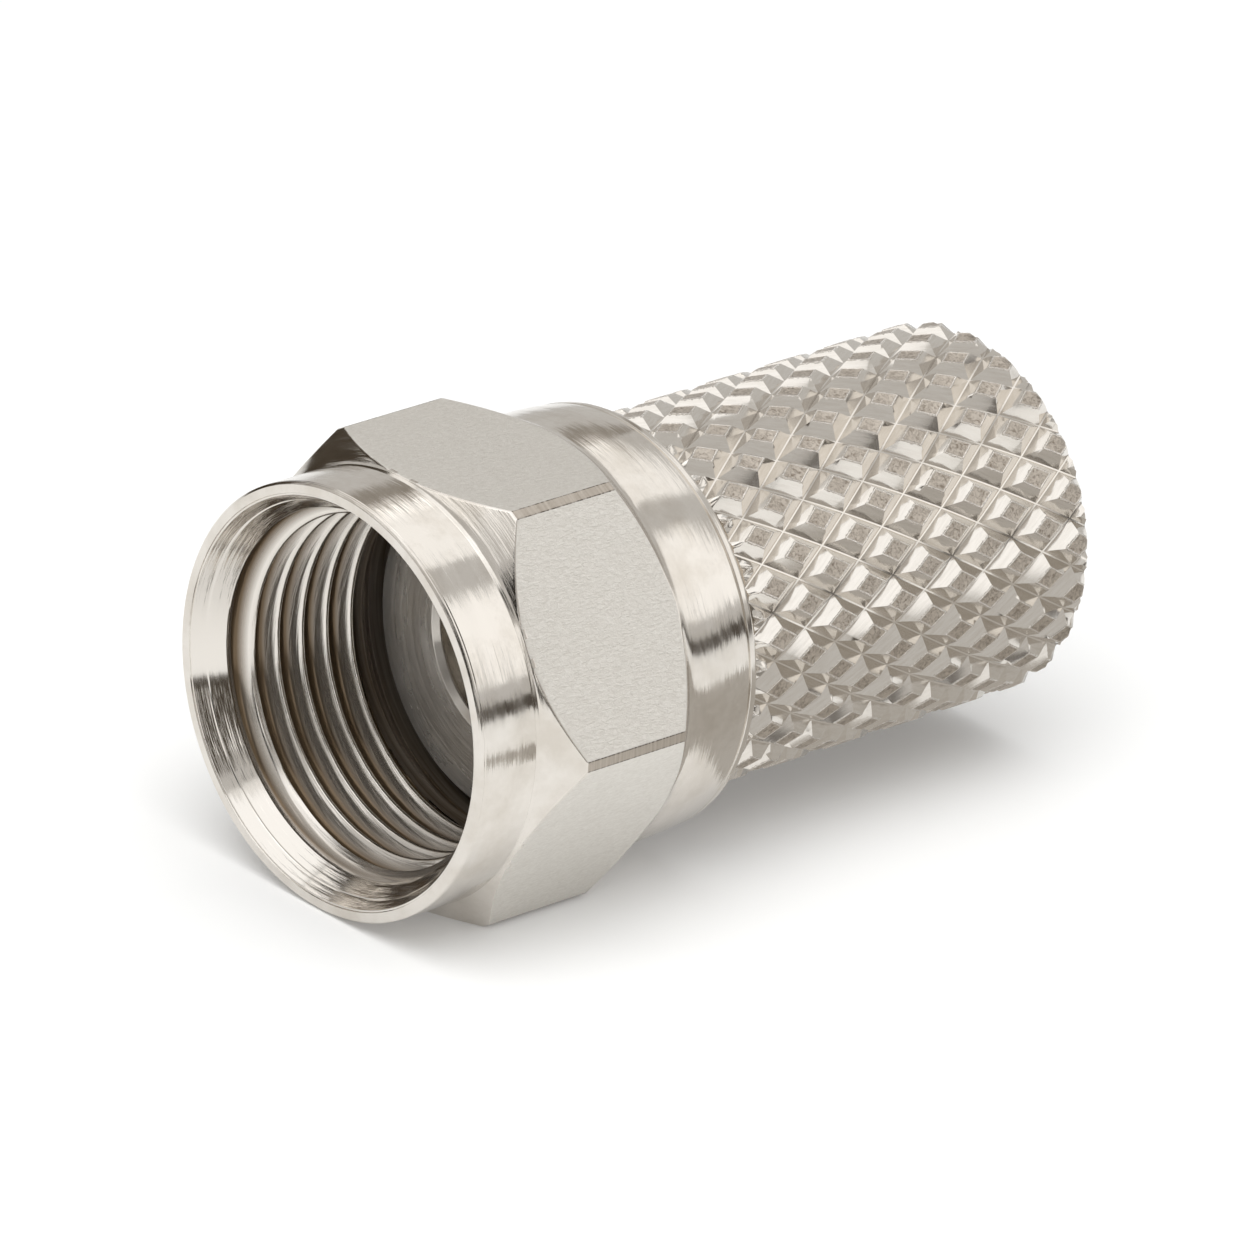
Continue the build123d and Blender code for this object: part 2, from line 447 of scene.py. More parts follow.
def makeKnurlCell(i, j, rng):
    # one diamond between four grooves, on a grid that follows the grooves
    half = np.array(knurl["halfGrid"])
    line = np.concatenate([half, 1 - half[-2::-1]])
    a, b = np.meshgrid(line, line, indexing="ij")
    u, v = i + a, j + b
    x = knurl["crossingX"] + (u - v) * knurl["cellLength"] / 2
    turn = math.radians(knurl["crossingTurn"]) + (u + v) * math.pi / knurl["around"]
    climb = np.full(a.shape, 1.0)
    for side in (a, 1 - a, b, 1 - b):                # each flank leans a little differently
        lean = knurl["flankAngle"] + rng.normal(0, knurl["leanSpread"])
        far = np.clip(side * groovesApart() - knurl["land"] / 2, 0, None)
        climb = np.minimum(climb, far / math.tan(math.radians(lean)))
    top = knurl["grooveDepth"] - knurl["topDrop"] + knurl["topSpread"] * rng.random()
    tilt = (a - 0.5) * rng.normal(0, knurl["tiltSpread"])
    tilt = tilt + (b - 0.5) * rng.normal(0, knurl["tiltSpread"])
    height = smoothMin(climb, top + tilt, knurl["topRound"])
    burr = np.exp(-((climb - top) / knurl["burrWidth"]) ** 2) * knurl["burrHeight"]
    height = height + burr * (climb > 0.2)           # none down in the grooves
    r = knurlRoot() + height
    fromEnd = np.clip(np.minimum(x - knurl["front"], knurl["rear"] - x), -0.4, None)
    limit = knurl["topRadius"] + knurl["land"] - knurl["endChamfer"] + fromEnd
    chamfered = np.maximum(smoothMin(r, limit, knurl["chamferRound"]), knurlRoot() - knurl["coreClear"])
    r = np.minimum(r, chamfered)
    verts = np.stack([(x + mouthX) * mm, r * np.cos(turn) * mm, r * np.sin(turn) * mm], -1)
    return verts.reshape(-1, 3), len(line)


def cellFaces(n, start):
    # quads, split along the pyramid's edges where the diagonals run
    faces = []
    for p in range(n - 1):
        for q in range(n - 1):
            w = start + p * n + q
            c = (w, w + n, w + n + 1, w + 1)
            if p == q:
                faces += [(c[0], c[1], c[2]), (c[0], c[2], c[3])]
            elif p + q == n - 2:
                faces += [(c[0], c[1], c[3]), (c[1], c[2], c[3])]
            else:
                faces.append(c)
    return faces


def cutAndClose(bm, x, way):
    # cuts the knurl off square at one end, and leads a wall from the cut down to the turned core
    parted = bmesh.ops.bisect_plane(bm, geom=bm.verts[:] + bm.edges[:] + bm.faces[:], dist=1e-8,
                                    plane_co=((x + mouthX) * mm, 0, 0), plane_no=(way, 0, 0),
                                    clear_outer=True)
    rim = [e for e in parted["geom_cut"] if isinstance(e, bmesh.types.BMEdge)]
    wall = bmesh.ops.extrude_edge_only(bm, edges=rim)["geom"]
    for v in wall:
        if isinstance(v, bmesh.types.BMVert):
            down = (knurlRoot() + knurl["coreClear"]) * mm / math.hypot(v.co.y, v.co.z)
            v.co.y *= down
            v.co.z *= down


def makeKnurl():
    rng = np.random.default_rng(23)
    verts, faces = [], []
    count = 0
    halfCell = knurl["cellLength"] / 2
    firstRow = math.floor((knurl["front"] - knurl["crossingX"]) / halfCell) - 1
    lastRow = math.ceil((knurl["rear"] - knurl["crossingX"]) / halfCell) + 1
    for row in range(firstRow, lastRow + 1):         # row is i - j
        for k in range(knurl["around"]):
            i = math.floor(row / 2) + k
            cell, n = makeKnurlCell(i, i - row, rng)
            verts.append(cell)
            faces += cellFaces(n, count)
            count += len(cell)
    piece = meshObject("knurlMesh", np.concatenate(verts).tolist(), faces)
    bm = bmesh.new()
    bm.from_mesh(piece.data)
    bmesh.ops.remove_doubles(bm, verts=bm.verts, dist=3e-7)
    cutAndClose(bm, knurl["front"], -1)
    cutAndClose(bm, knurl["rear"], 1)
    bm.to_mesh(piece.data)
    bm.free()
    return piece


def bodyFront():
    # the outline from the knurl's front over the flange, and through the core's hole to the bore
    b = body
    face = b["flangeFront"] + b["dishDepth"]
    return roundedLine([
        (knurl["front"], knurlRoot() + knurl["coreClear"], 0),
        (knurl["front"], b["bandRadius"], 0.01),
        (b["bandFront"], b["bandRadius"], 0.04),
        (b["bandFront"], b["neckRadius"], 0.03),
        (b["flangeBack"], b["neckRadius"], 0.03),
        (b["flangeBack"], b["flangeRadius"], 0.04),
        (b["flangeFront"] + b["flangeEdge"], b["flangeRadius"], 0.03),
        (b["flangeFront"], b["flangeRadius"] - b["flangeEdge"], 0.03),
        (face, b["coreRadius"] + b["coreEdge"], 0.04),
        (face + b["coreEdge"], b["coreRadius"], 0.04),
        (b["coneFront"], b["coreRadius"], 0.03),
        (b["boreBottom"], jacketThread["crestRadius"], 0)])


def bodyRear():
    # the outline of the cable's inlet
    b = body
    return roundedLine([
        (b["boreEnd"], jacketThread["crestRadius"], 0),
        (b["boreEnd"] + 0.05, b["boreRadius"] + 0.05, 0),
        (b["end"], b["boreRadius"] + b["mouthChamfer"], 0.03),
        (b["end"], knurlRoot() + knurl["coreClear"], 0)])


def boreThread(angles):
    # rings of the jacket's thread, which fades out toward both ends of the bore
    bottom, end = body["boreBottom"], body["boreEnd"]
    helix, perTurn = threadRows(angles, jacketThread, bottom, end)
    cut = []
    for x, r in helix:
        x = np.clip(x, bottom, end)
        threaded = np.clip(np.minimum(x - bottom, end - x) - jacketThread["plainEnds"], 0, None)
        deepest = jacketThread["crestRadius"] + threaded * jacketThread["runOut"]
        cut.append((x, np.minimum(r, deepest)))
    return cut, perTurn


def makeBody():
    sleeve = makeKnurl()
    count = body["columns"]
    angles = np.linspace(0, 2 * math.pi, count, endpoint=False)
    thread, perTurn = boreThread(angles)
    verts, faces = np.zeros((0, 3)), []
    for rows, shift in ((ringRows(bodyFront(), count), 0), (ringRows(bodyRear(), count), 0),
                        (thread, perTurn)):
        faces += ringFaces(len(rows), count, start=len(verts), shift=shift)
        verts = np.concatenate([verts, ringPoints(rows, angles).reshape(-1, 3)])
    turned = meshObject("bodyTurnedMesh", verts.tolist(), faces)
    bm = bmesh.new()
    bm.from_mesh(turned.data)
    bm.from_mesh(sleeve.data)
    mesh = bpy.data.meshes.new("bodyKnurled")
    bm.to_mesh(mesh)
    bm.free()
    for old in (turned, sleeve):
        data = old.data
        bpy.data.objects.remove(old)
        bpy.data.meshes.remove(data)
    piece = bpy.data.objects.new("bodyKnurled", mesh)
    bpy.context.scene.collection.objects.link(piece)
    tidyMesh(piece, joinWithin=1e-7, sharpAngle=35)
    return piece


bodyPiece = makeBody()
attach(bodyPiece, "plug_body")
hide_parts("cable_body")
print("body made:", triangles(bodyPiece), "triangles")


# materials: bright nickel plate over brass, with the surface that each tool left under it

nickel = {
    "colour": "DDD8D1",        # bright nickel, a little warm
    "hazed": "C9C2B8",         # where fingers and air have dulled it
    "hazePatches": 0.6,        # patches of haze a mm
    "toolMark": 0.05,          # mm between the marks that the turning tool leaves
    "threadMark": 0.07,        # mm, the threading tool's
    "threadRoughness": 0.2,
    "threadDepth": 0.012,      # mm, how deep its marks are
    "rootBrownAndShade": "6B5A45",      # thin brown plate at the bottom of the inside thread and in the recesses behind it, made darker as painted shade
    "rootMetal": 0.6,          # the brown film there scatters part of the light
    "rootFrom": 0.10,          # mm outside the crests, where the brown begins
    "rootTo": 0.05,            # mm inside the roots, where it is full
    "recessMark": 0.10,
    "recessRoughness": 0.45,
    "recessMetal": 0.35,
    "flatColour": "E3E0DA",
    "flatShade": "D6D2CB",
    "flatRoughness": 0.38,
    "flatGrain": 0.05,         # mm, the drawn bar's sandy skin
    "flatStretch": 0.45,       # of the grain along the bar, where it is drawn out to twice its length
    "flatDepth": 0.012,        # mm, how deep the grain is
    "bevelShade": "A0968A",    # the bevels are scuffed where bars rub
    "bevelColour": "C8C0B6",
    "bevelMarks": (14, 0.8, 0.8),   # scuffs a mm, along the bar and across it
    "edgeLine": "3E362E",
    "edgeLineHalf": (0.005, 0.020),  # mm from its middle: full up to the first, gone at the second
    "tornTint": "CBC2B7",      # dull tops of the diamonds
    "tornShade": "8D8276",
    "tornGrain": 0.06,         # mm
    "tornDepth": 0.018,        # mm
    "tornRoughness": 0.36,
    "ragged": 0.09,            # mm by which the edge of the torn part wanders
    "flankRoughness": 0.14,
    "streaks": 22.0,           # burnished streaks a mm, across a groove
    "streakDepth": 0.0006,     # mm
    "burrWidth": 0.028,        # mm, the torn edge around each diamond's top
    "burrHeight": 0.02,        # mm
    "burrGlintColour": "F1ECE5",    # painted highlight: near white, so the torn edge glints
}
# ringDepth is in mm, drawnOut is how far the rings stretch a highlight, and a metal under 1 is
# plate so dull that it scatters part of the light
turnedFinish = {"roughness": 0.11, "ringDepth": 0.0045, "drawnOut": 0.5, "metal": 1.0}
facedFinish = {"roughness": 0.24, "ringDepth": 0.012, "drawnOut": 0.8, "metal": 0.7}


def linear(hexColour):
    # sRGB hex to the linear values that Blender works in
    out = []
    for k in (0, 2, 4):
        c = int(hexColour[k:k + 2], 16) / 255
        out.append(c / 12.92 if c <= 0.04045 else ((c + 0.055) / 1.055) ** 2.4)
    return (*out, 1)


def addNode(tree, kind, settings=None, inputs=None):
    # one node: its settings, and for each socket a value or the output that feeds it
    # by number, a Map Range has 0 value, 1 and 2 from, 3 and 4 to, each 0 to 1 if left out;
    # a colour Mix has 0 factor, 6 and 7 colours, and gives its colour at 2
    node = tree.nodes.new(kind)
    for key, value in (settings or {}).items():
        setattr(node, key, value)
    for key, value in (inputs or {}).items():
        if isinstance(value, bpy.types.NodeSocket):
            tree.links.new(value, node.inputs[key])
        else:
            node.inputs[key].default_value = value
    return node.outputs


def newMaterial(name):
    material = bpy.data.materials.new(name)
    material.use_nodes = True
    material.node_tree.nodes.clear()
    return material, material.node_tree


def placeInMm(tree):
    # the surface point in mm in the frame
    place = addNode(tree, "ShaderNodeTexCoord")["Object"]
    return addNode(tree, "ShaderNodeVectorMath", {"operation": "SCALE"}, {0: place, "Scale": 1 / mm})[0]


def behindMouth(tree, inMm):
    # mm along the axis from the nut's mouth
    along = addNode(tree, "ShaderNodeSeparateXYZ", inputs={0: inMm})[0]
    return addNode(tree, "ShaderNodeMath", {"operation": "SUBTRACT"}, {0: along, 1: mouthX})[0]


def fromAxis(tree, inMm):
    # mm from the axis
    across = addNode(tree, "ShaderNodeVectorMath", {"operation": "MULTIPLY"}, {0: inMm, 1: (0, 1, 1)})[0]
    return addNode(tree, "ShaderNodeVectorMath", {"operation": "LENGTH"}, {0: across})["Value"]


def turnAboutAxis(tree, inMm):
    # the surface point's angle in radians, from +Y toward +Z
    parts = addNode(tree, "ShaderNodeSeparateXYZ", inputs={0: inMm})
    return addNode(tree, "ShaderNodeMath", {"operation": "ARCTAN2"}, {0: parts[2], 1: parts[1]})[0]


def turnedMarks(tree, inMm, spacing, smear):
    # rings around the axis that fade in and out: spacing mm apart, and long around
    along = addNode(tree, "ShaderNodeMath", {"operation": "ADD"},
                    {0: behindMouth(tree, inMm), 1: fromAxis(tree, inMm)})[0]
    across = addNode(tree, "ShaderNodeMath", {"operation": "DIVIDE"}, {0: along, 1: spacing})[0]
    rings = addNode(tree, "ShaderNodeCombineXYZ", inputs={0: across})[0]
    around = addNode(tree, "ShaderNodeVectorMath", {"operation": "MULTIPLY"},
                     {0: inMm, 1: (0, smear, smear)})[0]
    place = addNode(tree, "ShaderNodeVectorMath", {"operation": "ADD"}, {0: rings, 1: around})[0]
    return addNode(tree, "ShaderNodeTexNoise", inputs={
        "Vector": place, "Scale": 1.0, "Detail": 4, "Roughness": 0.6})[0]


def nickelTurned(name, finish):
    # turned on a lathe and plated: fine rings run around it and draw the highlights out along it
    material, tree = newMaterial(name)
    inMm = placeInMm(tree)
    fine = turnedMarks(tree, inMm, nickel["toolMark"] * 2, 0.12)
    broad = turnedMarks(tree, inMm, nickel["toolMark"] * 9, 0.3)
    haze = addNode(tree, "ShaderNodeTexNoise", inputs={
        "Vector": inMm, "Scale": nickel["hazePatches"], "Detail": 5, "Roughness": 0.65})[0]
    dull = addNode(tree, "ShaderNodeMapRange", inputs={0: haze, 1: 0.42, 2: 0.68, 3: 0.0, 4: 0.8})[0]
    colour = addNode(tree, "ShaderNodeMix", {"data_type": "RGBA"},
                     {0: dull, 6: linear(nickel["colour"]), 7: linear(nickel["hazed"])})[2]
    rough = addNode(tree, "ShaderNodeMapRange", inputs={
        0: broad, 1: 0.3, 2: 0.7, 3: finish["roughness"] - 0.04, 4: finish["roughness"] + 0.08})[0]
    marks = addNode(tree, "ShaderNodeMath", {"operation": "MULTIPLY_ADD"}, {0: broad, 1: 3.0, 2: fine})[0]
    bump = addNode(tree, "ShaderNodeBump", inputs={
        "Height": marks, "Distance": finish["ringDepth"] * mm})[0]
    tangent = addNode(tree, "ShaderNodeTangent", {"direction_type": "RADIAL", "axis": "X"})[0]
    shader = addNode(tree, "ShaderNodeBsdfPrincipled", inputs={
        "Base Color": colour, "Roughness": rough, "Normal": bump, "Tangent": tangent,
        "Metallic": finish["metal"], "Anisotropic": finish["drawnOut"], "Anisotropic Rotation": 0.25})[0]
    addNode(tree, "ShaderNodeOutputMaterial", inputs={"Surface": shader})
    return material


def nickelThreaded(name):
    # cut with a threading tool and plated: bright on the countersink and crests, thin and brown
    # in the roots, where the dark brown is also painted shade
    material, tree = newMaterial(name)
    inMm = placeInMm(tree)
    fine = turnedMarks(tree, inMm, nickel["threadMark"], 0.2)
    # painted shade: past the countersink the colour turns dark brown toward the roots, partly for thin
    # brown plate and partly for the shade down in the thread
    brownFrom = portThread["crestRadius"] + nickel["rootFrom"]
    brownTo = portThread["rootRadius"] - nickel["rootTo"]
    deep = addNode(tree, "ShaderNodeMapRange", inputs={
        0: fromAxis(tree, inMm), 1: brownFrom, 2: brownTo})[0]
    inside = addNode(tree, "ShaderNodeMapRange", inputs={
        0: behindMouth(tree, inMm), 1: nut["coneEnd"] + 0.06, 2: nut["coneEnd"] + 0.2})[0]
    root = addNode(tree, "ShaderNodeMath", {"operation": "MULTIPLY"}, {0: deep, 1: inside})[0]
    colour = addNode(tree, "ShaderNodeMix", {"data_type": "RGBA"},
                     {0: root, 6: linear(nickel["colour"]), 7: linear(nickel["rootBrownAndShade"])})[2]
    rough = addNode(tree, "ShaderNodeMapRange", inputs={
        0: inside, 3: turnedFinish["roughness"], 4: nickel["threadRoughness"]})[0]
    metal = addNode(tree, "ShaderNodeMapRange", inputs={
        0: root, 3: 1.0, 4: nickel["rootMetal"]})[0]
    bump = addNode(tree, "ShaderNodeBump", inputs={
        "Height": fine, "Distance": nickel["threadDepth"] * mm})[0]
    shader = addNode(tree, "ShaderNodeBsdfPrincipled", inputs={
        "Base Color": colour, "Roughness": rough, "Normal": bump, "Metallic": metal})[0]
    addNode(tree, "ShaderNodeOutputMaterial", inputs={"Surface": shader})
    return material


def nickelRecessShade(name):
    # painted shade deep inside the nut: the groove behind the thread, where plating hardly reaches and
    # leaves a brown, dull film, and the body's flange rim there are coloured dark brown for the shade, so
    # they stay dark
    material, tree = newMaterial(name)
    inMm = placeInMm(tree)
    rings = turnedMarks(tree, inMm, nickel["recessMark"], 0.3)
    tone = addNode(tree, "ShaderNodeMapRange", inputs={0: rings, 1: 0.3, 2: 0.7})[0]
    colour = addNode(tree, "ShaderNodeMix", {"data_type": "RGBA"},
                     {0: tone, 6: linear(nickel["rootBrownAndShade"]), 7: linear(nickel["bevelShade"])})[2]
    shader = addNode(tree, "ShaderNodeBsdfPrincipled", inputs={
        "Base Color": colour, "Roughness": nickel["recessRoughness"],
        "Metallic": nickel["recessMetal"]})[0]
    addNode(tree, "ShaderNodeOutputMaterial", inputs={"Surface": shader})
    return material


def fromFlatsMiddle(tree, inMm):
    # mm from the middle line of the nearest flat, along the flat
    angle = turnAboutAxis(tree, inMm)
    sixths = addNode(tree, "ShaderNodeMath", {"operation": "DIVIDE"}, {0: angle, 1: math.pi / 3})[0]
    part = addNode(tree, "ShaderNodeMath", {"operation": "FRACT"}, {0: sixths})[0]
    centred = addNode(tree, "ShaderNodeMath", {"operation": "SUBTRACT"}, {0: part, 1: 0.5})[0]
    turn = addNode(tree, "ShaderNodeMath", {"operation": "MULTIPLY"}, {0: centred, 1: math.pi / 3})[0]
    sine = addNode(tree, "ShaderNodeMath", {"operation": "SINE"}, {0: turn})[0]
    side = addNode(tree, "ShaderNodeMath", {"operation": "MULTIPLY"}, {0: sine, 1: fromAxis(tree, inMm)})[0]
    return addNode(tree, "ShaderNodeMath", {"operation": "ABSOLUTE"}, {0: side})[0]


def nickelDrawn(name):
    # the hexagon keeps the drawn bar's sandy skin under the plate, so its flats shine softly
    material, tree = newMaterial(name)
    inMm = placeInMm(tree)
    stretched = addNode(tree, "ShaderNodeVectorMath", {"operation": "MULTIPLY"},
                        {0: inMm, 1: (nickel["flatStretch"], 1, 1)})[0]
    grain = addNode(tree, "ShaderNodeTexNoise", inputs={
        "Vector": stretched, "Scale": 0.7 / nickel["flatGrain"], "Detail": 3, "Roughness": 0.6,
        "Distortion": 0.8})[0]
    tone = addNode(tree, "ShaderNodeMapRange", inputs={0: grain, 1: 0.3, 2: 0.7})[0]
    flat = addNode(tree, "ShaderNodeMix", {"data_type": "RGBA"},
                   {0: tone, 6: linear(nickel["flatShade"]), 7: linear(nickel["flatColour"])})[2]

    # the scuffed bevels, with marks that run across them
    side = fromFlatsMiddle(tree, inMm)
    bevelStart = nut["acrossFlats"] / 2 * math.tan(math.pi / 6) - nut["edgeBevel"]
    bevel = addNode(tree, "ShaderNodeMapRange", inputs={
        0: side, 1: bevelStart - 0.004, 2: bevelStart + 0.004})[0]
    alongBar = addNode(tree, "ShaderNodeVectorMath", {"operation": "MULTIPLY"},
                       {0: inMm, 1: nickel["bevelMarks"]})[0]
    scuff = addNode(tree, "ShaderNodeTexNoise", inputs={
        "Vector": alongBar, "Scale": 1.0, "Detail": 4, "Roughness": 0.6})[0]
    worn = addNode(tree, "ShaderNodeMapRange", inputs={0: scuff, 1: 0.3, 2: 0.7, 3: 0.2, 4: 0.8})[0]
    bevelTone = addNode(tree, "ShaderNodeMix", {"data_type": "RGBA"},
                        {0: worn, 6: linear(nickel["bevelShade"]), 7: linear(nickel["bevelColour"])})[2]
    colour = addNode(tree, "ShaderNodeMix", {"data_type": "RGBA"}, {0: bevel, 6: flat, 7: bevelTone})[2]

    # and a broken dark line where each begins
    off = addNode(tree, "ShaderNodeMath", {"operation": "SUBTRACT"}, {0: side, 1: bevelStart})[0]
    off = addNode(tree, "ShaderNodeMath", {"operation": "ABSOLUTE"}, {0: off})[0]
    full, gone = nickel["edgeLineHalf"]
    line = addNode(tree, "ShaderNodeMapRange", inputs={0: off, 1: full, 2: gone, 3: 1.0, 4: 0.0})[0]
    dash = addNode(tree, "ShaderNodeMapRange", inputs={0: scuff, 1: 0.42, 2: 0.60, 3: 1.0, 4: 0.4})[0]
    line = addNode(tree, "ShaderNodeMath", {"operation": "MULTIPLY"}, {0: line, 1: dash})[0]
    colour = addNode(tree, "ShaderNodeMix", {"data_type": "RGBA"},
                     {0: line, 6: colour, 7: linear(nickel["edgeLine"])})[2]
    bump = addNode(tree, "ShaderNodeBump", inputs={
        "Height": grain, "Distance": nickel["flatDepth"] * mm})[0]
    shader = addNode(tree, "ShaderNodeBsdfPrincipled", inputs={
        "Base Color": colour, "Roughness": nickel["flatRoughness"], "Normal": bump, "Metallic": 1.0})[0]
    addNode(tree, "ShaderNodeOutputMaterial", inputs={"Surface": shader})
    return material


def grooveDistance(tree, inMm):
    # mm from the middle of the nearest knurl groove, and the point's place along both sets of grooves
    row = addNode(tree, "ShaderNodeMath", {"operation": "SUBTRACT"},
                  {0: behindMouth(tree, inMm), 1: knurl["crossingX"]})[0]
    row = addNode(tree, "ShaderNodeMath", {"operation": "DIVIDE"}, {0: row, 1: knurl["cellLength"] / 2})[0]
    turn = addNode(tree, "ShaderNodeMath", {"operation": "SUBTRACT"},
                   {0: turnAboutAxis(tree, inMm), 1: math.radians(knurl["crossingTurn"])})[0]
    turn = addNode(tree, "ShaderNodeMath", {"operation": "MULTIPLY"},
                   {0: turn, 1: knurl["around"] / math.pi})[0]
    both = addNode(tree, "ShaderNodeMath", {"operation": "ADD"}, {0: turn, 1: row})[0]
    other = addNode(tree, "ShaderNodeMath", {"operation": "SUBTRACT"}, {0: turn, 1: row})[0]
    nearA = addNode(tree, "ShaderNodeMath", {"operation": "PINGPONG"}, {0: both, 1: 1.0})[0]
    nearB = addNode(tree, "ShaderNodeMath", {"operation": "PINGPONG"}, {0: other, 1: 1.0})[0]
    near = addNode(tree, "ShaderNodeMath", {"operation": "MINIMUM"}, {0: nearA, 1: nearB})[0]
    near = addNode(tree, "ShaderNodeMath", {"operation": "MULTIPLY"}, {0: near, 1: groovesApart() / 2})[0]
    return near, both, other


def nickelKnurled(name):
    # diamonds pressed by a knurling wheel: burnished flanks, and tops left torn, dull and ragged
    material, tree = newMaterial(name)
    inMm = placeInMm(tree)
    near, both, other = grooveDistance(tree, inMm)
    torn = addNode(tree, "ShaderNodeTexNoise", inputs={
        "Vector": inMm, "Scale": 0.6 / nickel["tornGrain"], "Detail": 4, "Roughness": 0.65,
        "Distortion": 1.2})[0]
    jag = addNode(tree, "ShaderNodeMath", {"operation": "SUBTRACT"}, {0: torn, 1: 0.5})[0]
    ragged = addNode(tree, "ShaderNodeMath", {"operation": "MULTIPLY_ADD"},
                     {0: jag, 1: nickel["ragged"], 2: near})[0]
    edge = knurl["grooveDepth"] * math.tan(math.radians(knurl["flankAngle"])) + knurl["land"] / 2
    onTop = addNode(tree, "ShaderNodeMapRange", inputs={
        0: ragged, 1: edge - 0.004, 2: edge + 0.012})[0]
    away = addNode(tree, "ShaderNodeMath", {"operation": "SUBTRACT"}, {0: ragged, 1: edge})[0]
    away = addNode(tree, "ShaderNodeMath", {"operation": "ABSOLUTE"}, {0: away})[0]
    burr = addNode(tree, "ShaderNodeMapRange", inputs={
        0: away, 1: 0.0, 2: nickel["burrWidth"], 3: 1.0, 4: 0.0})[0]

    # streaks that the wheel burnished along the grooves
    acrossGroove = addNode(tree, "ShaderNodeMath", {"operation": "MULTIPLY"},
                           {0: near, 1: nickel["streaks"]})[0]
    streakPlace = addNode(tree, "ShaderNodeCombineXYZ", inputs={0: acrossGroove, 1: both, 2: other})[0]
    streak = addNode(tree, "ShaderNodeTexNoise", inputs={
        "Vector": streakPlace, "Scale": 1.0, "Detail": 4, "Roughness": 0.6, "Distortion": 0.4})[0]

    # how high the torn tops, the burrs and the streaks stand, in mm
    height = addNode(tree, "ShaderNodeMath", {"operation": "MULTIPLY"}, {0: torn, 1: onTop})[0]
    height = addNode(tree, "ShaderNodeMath", {"operation": "MULTIPLY"},
                     {0: height, 1: nickel["tornDepth"]})[0]
    height = addNode(tree, "ShaderNodeMath", {"operation": "MULTIPLY_ADD"},
                     {0: burr, 1: nickel["burrHeight"], 2: height})[0]
    height = addNode(tree, "ShaderNodeMath", {"operation": "MULTIPLY_ADD"},
                     {0: streak, 1: nickel["streakDepth"], 2: height})[0]
    bump = addNode(tree, "ShaderNodeBump", inputs={"Height": height, "Distance": mm})[0]

    pitted = addNode(tree, "ShaderNodeMapRange", inputs={0: torn, 1: 0.34, 2: 0.56})[0]
    topColour = addNode(tree, "ShaderNodeMix", {"data_type": "RGBA"},
                        {0: pitted, 6: linear(nickel["tornShade"]), 7: linear(nickel["tornTint"])})[2]
    rubbed = addNode(tree, "ShaderNodeMapRange", inputs={0: streak, 1: 0.3, 2: 0.6, 3: 0.6, 4: 1.0})[0]
    flankColour = addNode(tree, "ShaderNodeMix", {"data_type": "RGBA"},
                          {0: rubbed, 6: linear(nickel["hazed"]), 7: linear(nickel["colour"])})[2]
    dullTop = addNode(tree, "ShaderNodeMath", {"operation": "SUBTRACT"}, {0: onTop, 1: burr})[0]
    dullTop = addNode(tree, "ShaderNodeMath", {"operation": "MAXIMUM"}, {0: dullTop, 1: 0.0})[0]
    colour = addNode(tree, "ShaderNodeMix", {"data_type": "RGBA"},
                     {0: dullTop, 6: flankColour, 7: topColour})[2]
    # painted highlight: the burrs around the tops are coloured near white
    colour = addNode(tree, "ShaderNodeMix", {"data_type": "RGBA"},
                     {0: burr, 6: colour, 7: linear(nickel["burrGlintColour"])})[2]
    rough = addNode(tree, "ShaderNodeMapRange", inputs={
        0: dullTop, 3: nickel["flankRoughness"], 4: nickel["tornRoughness"]})[0]
    shader = addNode(tree, "ShaderNodeBsdfPrincipled", inputs={
        "Base Color": colour, "Roughness": rough, "Normal": bump, "Metallic": 1.0})[0]
    addNode(tree, "ShaderNodeOutputMaterial", inputs={"Surface": shader})
    return material


def dressNut():
    # the turned surfaces, then the flats and the inside by where each face lies
    mesh = nutPiece.data
    mesh.materials.append(nickelTurned("nickelPlatedTurnedBrass", turnedFinish))
    mesh.materials.append(nickelDrawn("nickelPlatedDrawnBrass"))
    mesh.materials.append(nickelThreaded("nickelPlatedThreadedBrass"))
    mesh.materials.append(nickelRecessShade("nickelPlatedRecessShadeBrass"))
    near = 0.002        # mm within which a face's middle lies on a flat or a bevel
    for poly in mesh.polygons:
        x = poly.center.x / mm - mouthX
        across = math.hypot(poly.center.y, poly.center.z) / mm
        turn = math.atan2(poly.center.z, poly.center.y)
        flatTurn = (turn % (math.pi / 3)) - math.pi / 6
        edgeTurn = abs(flatTurn) - math.pi / 6
        onFlat = abs(across * math.cos(flatTurn) - nut["acrossFlats"] / 2) < near
        onBevel = abs(across * math.cos(edgeTurn) - bevelRadius()) < near
        if (onFlat or onBevel) and abs(poly.normal.x) < 0.05:
            poly.material_index = 1
        elif across < nut["mouthRadius"] - 0.01 and x < nut["threadEnd"] - 0.001:
            poly.material_index = 2
        # the groove and pocket behind the thread take the recess material: a brown film and painted shade
        elif across < nut["mouthRadius"] and x < nut["lipFront"] + 0.001:
            poly.material_index = 3


